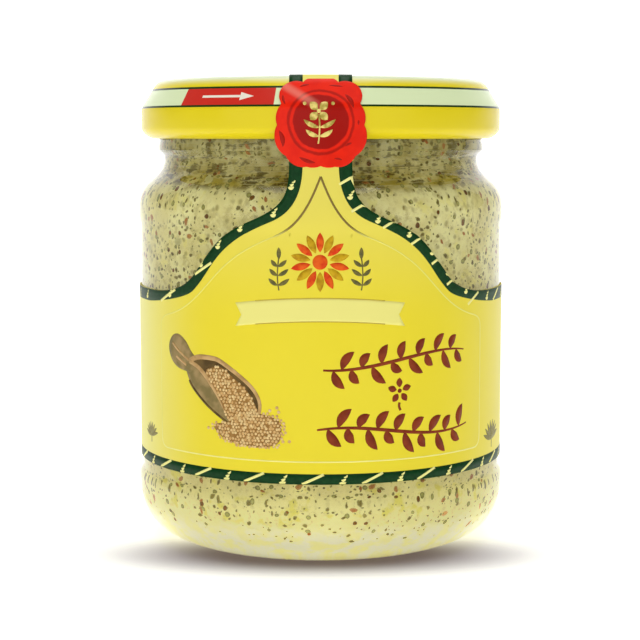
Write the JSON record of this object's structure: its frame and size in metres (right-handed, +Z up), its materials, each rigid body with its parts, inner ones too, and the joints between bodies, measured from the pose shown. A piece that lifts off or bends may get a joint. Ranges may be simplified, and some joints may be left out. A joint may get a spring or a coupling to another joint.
{
  "type": "mustard jar",
  "caption": "Sealed round glass jar of coarse-grain mustard with a pressed twist-off lid and a wrap-round paper label whose strip runs up over the lid.",
  "frame": {"origin": "middle of the underside, on the surface that the jar stands on", "axes": "+Z up along the jar's axis; the front of the label faces -Y; +X is to the right of someone facing the label"},
  "size_m": [0.0666, 0.0666, 0.0827],
  "materials": {
    "clear_glass": "clear, smooth",
    "mustard": "moist, grainy paste",
    "lacquered_metal": "glossy printed lacquer on tinplate",
    "label_paper": "coated printed paper, satin"
  },
  "bodies": {
    "root": {"glass_jar": "clear_glass", "mustard": "mustard", "lid": "lacquered_metal", "label": "label_paper"}
  },
  "joints": []
}
